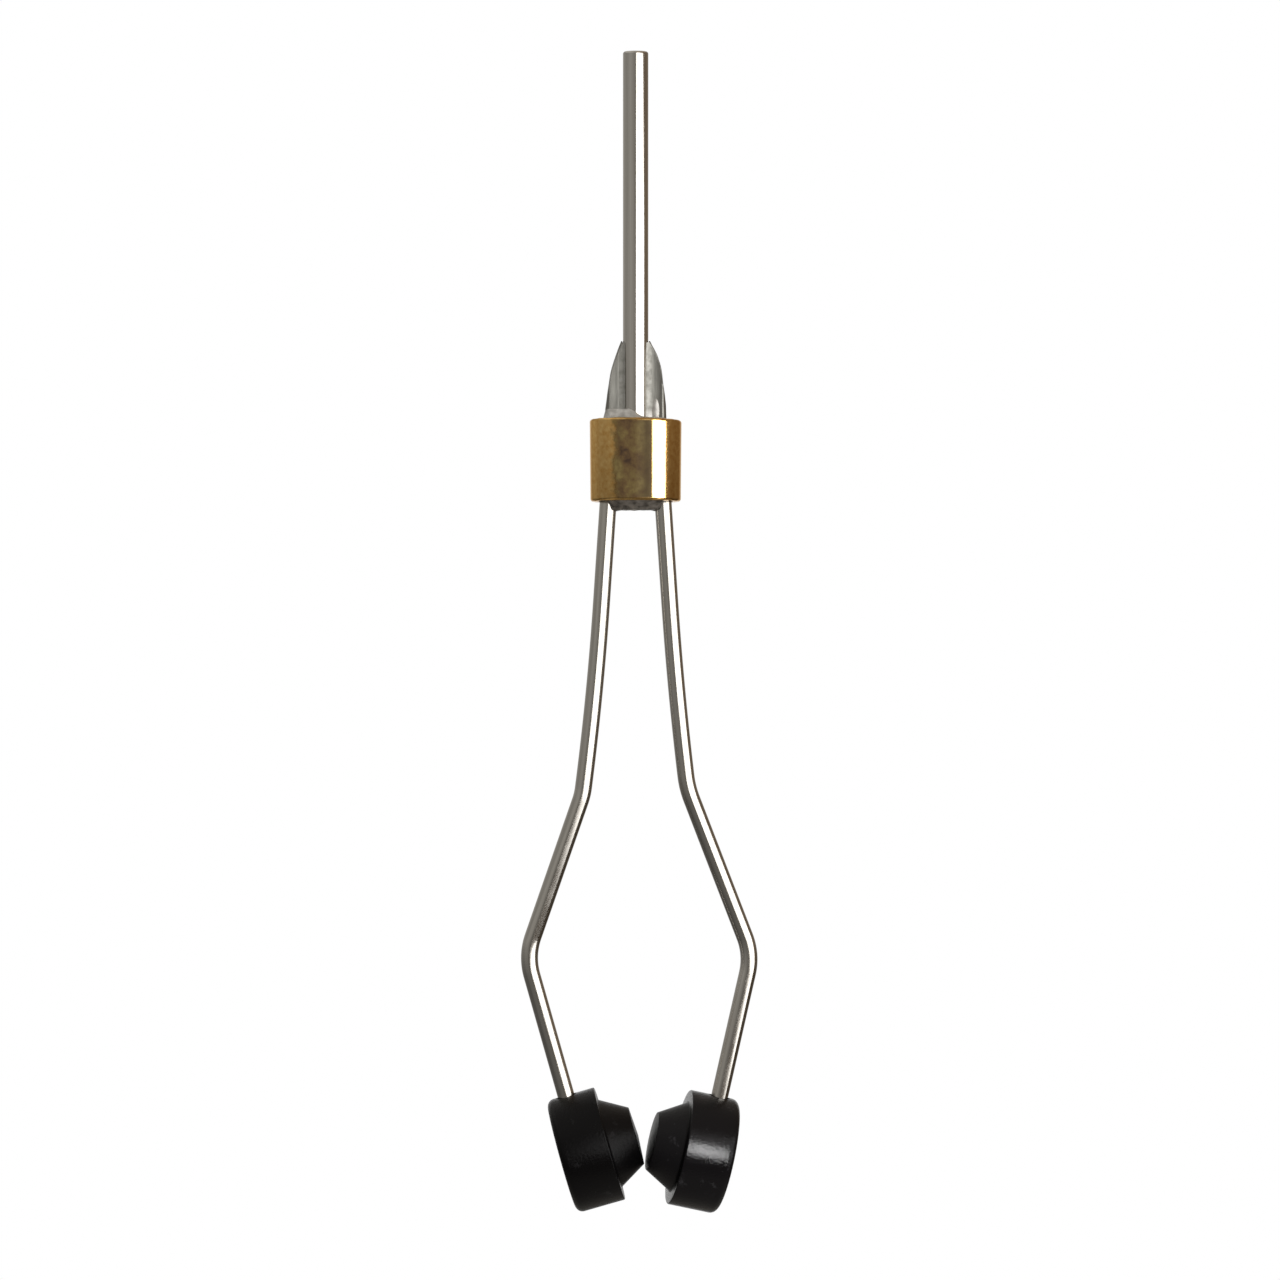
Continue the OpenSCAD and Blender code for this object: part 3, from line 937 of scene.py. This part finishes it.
def make_foot(side):
    """A foot, turned on its wire as it sits, with the hole that the wire is pushed into."""
    joint = JOINTS[f"{side}_foot_swivel"]
    centre = Vector(joint["pos_m"]) / MM
    up = Vector(joint["axis"])
    if up.z < 0:
        up.negate()
    front = Vector((0, -1, 0))
    inward = front.cross(up) * SIDE[side]
    inward.normalize()
    turn = math.radians(FOOT_TURN[side])
    nose = inward * math.cos(turn) + front * math.sin(turn)
    bm = spun(foot_outline(), sides=160, closed=False)
    matt = bm.verts.layers.float.new("matt")
    for vert in bm.verts:
        vert[matt] = 1.0 if vert.co.z > ledge_at + matt_above else RIM_MATT[side]
    place = Matrix((up.cross(nose), up, nose)).transposed().to_4x4()
    bmesh.ops.transform(bm, matrix=place, verts=bm.verts)
    mouth_r = hole_r + mouth_chamfer + mouth_over
    hole = spun([(0, foot_r - hole_depth), (hole_r, foot_r - hole_depth),
                 (hole_r, foot_r - mouth_chamfer), (mouth_r, foot_r + mouth_over),
                 (0, foot_r + mouth_over)], sides=64, closed=False)
    stand = Matrix((up.cross(front), -front, up)).transposed().to_4x4()
    bmesh.ops.transform(hole, matrix=stand, verts=hole.verts)
    bm = cut(bm, hole)
    bmesh.ops.translate(bm, verts=bm.verts, vec=centre)
    finished(bm, f"{side}_foot_turned", f"{side}_foot", "black_plastic", ACETAL,
             f"{side}_foot")


make_thread_tube()
make_collar()
make_braze()
for side in SIDE:
    make_wire(side)
    make_foot(side)


# ------------------------------------------------------------------ camera

# The photograph's frame is 1280 pixels wide. The middle of the collar lies at this
# pixel, and one pixel spans this many millimetres on the object.
frame_px = 1280
collar_px = (635.65, 459.5)
mm_per_px = 0.0935
camera_away = 324.0


def make_camera():
    """The camera, level with the object and square to it."""
    lens = bpy.data.cameras.new("camera")
    lens.sensor_width = 36.0
    lens.lens = lens.sensor_width * camera_away / (frame_px * mm_per_px)
    lens.clip_start = 0.01
    lens.clip_end = 50.0
    camera = bpy.data.objects.new("camera", lens)
    camera.location = (
        (frame_px / 2 - collar_px[0]) * mm_per_px * MM,
        -camera_away * MM,
        (collar_px[1] - frame_px / 2) * mm_per_px * MM,
    )
    camera.rotation_euler = (math.radians(90), 0, 0)
    bpy.context.scene.collection.objects.link(camera)
    bpy.context.scene.camera = camera


make_camera()


# ------------------------------------------------------------------ studio

# Metres from here on. The lamps stand this far from the object's axis.
lamp_away = 0.4
foot_lamp_away = 0.21

# A pale round floor stands well below the object, and fades into the white around it
# between these distances from its middle
floor_below = 0.4
floor_r = 0.5
fade_start = 0.15
fade_end = 0.475

# How bright the room is, from straight below at 0 to straight above at 1, and the tint of
# that from its left side at 0 to its right side at 1
room_levels = [(0.30, 0.10), (0.50, 0.27), (0.56, 0.36), (0.70, 0.28), (0.84, 0.6)]
room_tints = [
    (0.0, (0.9, 0.87, 0.82)), (0.12, (1.15, 1.12, 1.06)), (0.28, (1.05, 1.01, 0.95)),
    (0.46, (0.7, 0.67, 0.62)), (0.60, (0.85, 0.75, 0.65)), (0.85, (0.58, 0.45, 0.33)),
]
# How nearly straight behind the object a mirrored view has to look to begin to see white,
# and to see it fully
behind_start = 0.84
behind_full = 1.04


def panel(name, azimuth, away, degrees, low, high, radiance, lean=0.0, only=()):
    """A soft lamp that faces the object's axis. Its azimuth turns from the viewer's side
    to the right, it spans this many degrees, and stands between two heights, leaning by
    some degrees. Radiance is how bright it looks, where white is 1. It lights only the
    pieces named, if any are."""
    width = 2 * away * math.tan(math.radians(degrees / 2))
    lamp = bpy.data.lights.new(name, "AREA")
    lamp.shape = "RECTANGLE"
    lamp.size = width
    lamp.size_y = high - low
    lamp.energy = radiance * math.pi * width * (high - low)
    turn = math.radians(azimuth)
    stand = bpy.data.objects.new(name, lamp)
    place = Matrix.Translation((away * math.sin(turn), -away * math.cos(turn),
                                (low + high) / 2))
    upright = Matrix.Rotation(turn, 4, "Z") @ Matrix.Rotation(math.radians(90), 4, "X")
    stand.matrix_world = place @ upright @ Matrix.Rotation(math.radians(lean), 4, "Z")
    bpy.context.scene.collection.objects.link(stand)
    if only:
        lit = bpy.data.collections.new(name)
        for piece in only:
            lit.objects.link(bpy.data.objects[piece])
        stand.light_linking.receiver_collection = lit


# A wide soft box stands to the right of the camera. Brass and black plastic need more
# light than steel before a reflection shows white, so each has a lamp of its own.
panel("soft_box", azimuth=42.0, away=lamp_away, degrees=76.0, low=-0.148, high=0.2015,
      radiance=2.35, lean=-17)
panel("collar_lamp", azimuth=62.0, away=lamp_away, degrees=37.0, low=-0.125, high=0.125,
      radiance=7.5, only=["brass_collar_turned"])
panel("foot_lamp", azimuth=14.0, away=foot_lamp_away, degrees=9.0, low=-0.065, high=-0.004,
      radiance=95.0, lean=-5, only=["right_foot_turned"])


# Matt pale paint on a smooth floor: it takes a soft shadow and shows no grain. The camera
# sees it fade to white, and everything else sees only the paint.
def floor_paint():
    material, tree, output = new_material("matt_pale_floor_paint")
    place = add(tree, "ShaderNodeTexCoord")
    flat = add(tree, "ShaderNodeMapping",
               {"Vector": place.outputs["Object"], "Scale": (1, 1, 0)})
    out = add(tree, "ShaderNodeVectorMath", [flat.outputs["Vector"]], operation="LENGTH")
    fade = add(tree, "ShaderNodeMapRange",
               {"Value": out.outputs["Value"], "From Min": fade_start,
                "From Max": fade_end}, interpolation_type="SMOOTHSTEP")
    seen = add(tree, "ShaderNodeLightPath")
    faded = add(tree, "ShaderNodeMath",
                [fade.outputs["Result"], seen.outputs["Is Camera Ray"]],
                operation="MULTIPLY")
    paint = add(tree, "ShaderNodeBsdfDiffuse", {"Color": srgb("#BFBFBD")})
    white = add(tree, "ShaderNodeEmission", {"Color": srgb("#FFFFFF"), "Strength": 1.0})
    mixed = add(tree, "ShaderNodeMixShader",
                [faded.outputs["Value"], paint.outputs["BSDF"], white.outputs["Emission"]])
    tree.links.new(mixed.outputs["Shader"], output.inputs["Surface"])
    return material


def make_floor():
    """The round floor, which isn't part of the object."""
    bm = bmesh.new()
    bmesh.ops.create_circle(bm, cap_ends=True, radius=floor_r, segments=96)
    bmesh.ops.translate(bm, verts=bm.verts, vec=(0, 0, -floor_below))
    mesh = bpy.data.meshes.new("floor")
    bm.to_mesh(mesh)
    bm.free()
    mesh.materials.append(floor_paint())
    floor = bpy.data.objects.new("floor", mesh)
    bpy.context.scene.collection.objects.link(floor)


def make_room():
    """The room: light grey to the left, darker and warmer to the right, dim below and
    lighter overhead, and white straight behind the object where metal and gloss mirror
    it. The camera sees white all round."""
    world = bpy.data.worlds.new("room")
    bpy.context.scene.world = world
    world.use_nodes = True
    tree = world.node_tree
    tree.nodes.clear()
    output = tree.nodes.new("ShaderNodeOutputWorld")
    place = add(tree, "ShaderNodeTexCoord")
    axes = add(tree, "ShaderNodeSeparateXYZ", {"Vector": place.outputs["Generated"]})
    height = add(tree, "ShaderNodeMapRange", {"Value": axes.outputs["Z"], "From Min": -1.0})
    level = add(tree, "ShaderNodeValToRGB", {"Fac": height.outputs["Result"]},
                [(stop, (grey, grey, grey, 1)) for stop, grey in room_levels])
    rightward = add(tree, "ShaderNodeMapRange",
                    {"Value": axes.outputs["X"], "From Min": -1.0})
    tint = add(tree, "ShaderNodeValToRGB", {"Fac": rightward.outputs["Result"]},
               [(stop, (*light, 1)) for stop, light in room_tints])
    walls = add(tree, "ShaderNodeMix",
                {"Factor": 1.0, COLOUR_A: level.outputs["Color"],
                 COLOUR_B: tint.outputs["Color"]},
                data_type="RGBA", blend_type="MULTIPLY")
    behind = add(tree, "ShaderNodeMapRange",
                 {"Value": axes.outputs["Y"], "From Min": behind_start,
                  "From Max": behind_full})
    seen = add(tree, "ShaderNodeLightPath")
    mirrored = add(tree, "ShaderNodeMath",
                   [seen.outputs["Is Glossy Ray"], seen.outputs["Is Transmission Ray"]],
                   operation="MAXIMUM")
    backdrop = add(tree, "ShaderNodeMath",
                   [behind.outputs["Result"], mirrored.outputs["Value"]],
                   operation="MULTIPLY")
    white = add(tree, "ShaderNodeMath",
                [backdrop.outputs["Value"], seen.outputs["Is Camera Ray"]],
                operation="MAXIMUM")
    sky = add(tree, "ShaderNodeMix",
              {"Factor": white.outputs["Value"], COLOUR_A: walls.outputs[COLOUR_MIX],
               COLOUR_B: srgb("#FFFFFF")}, data_type="RGBA")
    room = add(tree, "ShaderNodeBackground",
               {"Color": sky.outputs[COLOUR_MIX], "Strength": 1.0})
    tree.links.new(room.outputs["Background"], output.inputs["Surface"])


make_floor()
make_room()

bpy.context.scene.view_settings.view_transform = "Standard"
